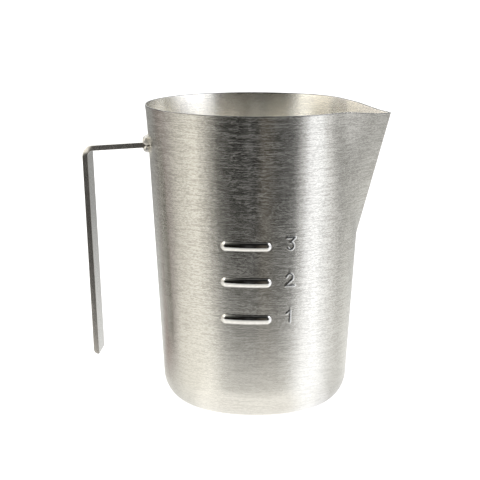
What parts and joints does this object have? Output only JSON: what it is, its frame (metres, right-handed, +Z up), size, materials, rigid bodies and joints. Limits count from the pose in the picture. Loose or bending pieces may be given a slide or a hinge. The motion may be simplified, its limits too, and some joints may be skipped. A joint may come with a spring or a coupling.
{
  "type": "candle melting pot",
  "caption": "Brushed steel pouring jug with a pinched spout, a welded open bar handle and raised level marks, for melting wax over hot water.",
  "frame": {"origin": "centre of the flat base, on the surface that the pot stands on", "axes": "+Z up along the pot's axis, +X towards the pouring spout, -X towards the handle, level marks on the -Y side"},
  "size_m": [0.1517, 0.11, 0.15],
  "materials": {
    "pot_steel": "fine brushing round the wall, about Ra 0.4",
    "handle_steel": "brushed along the bar, darker sheared edges",
    "weld_steel": "bright as-welded bead with a faint straw tint"
  },
  "bodies": {
    "root": {"pot_body": "pot_steel", "handle_strap": "handle_steel", "weld_bead_top": "weld_steel", "weld_bead_bottom": "weld_steel"}
  },
  "joints": []
}
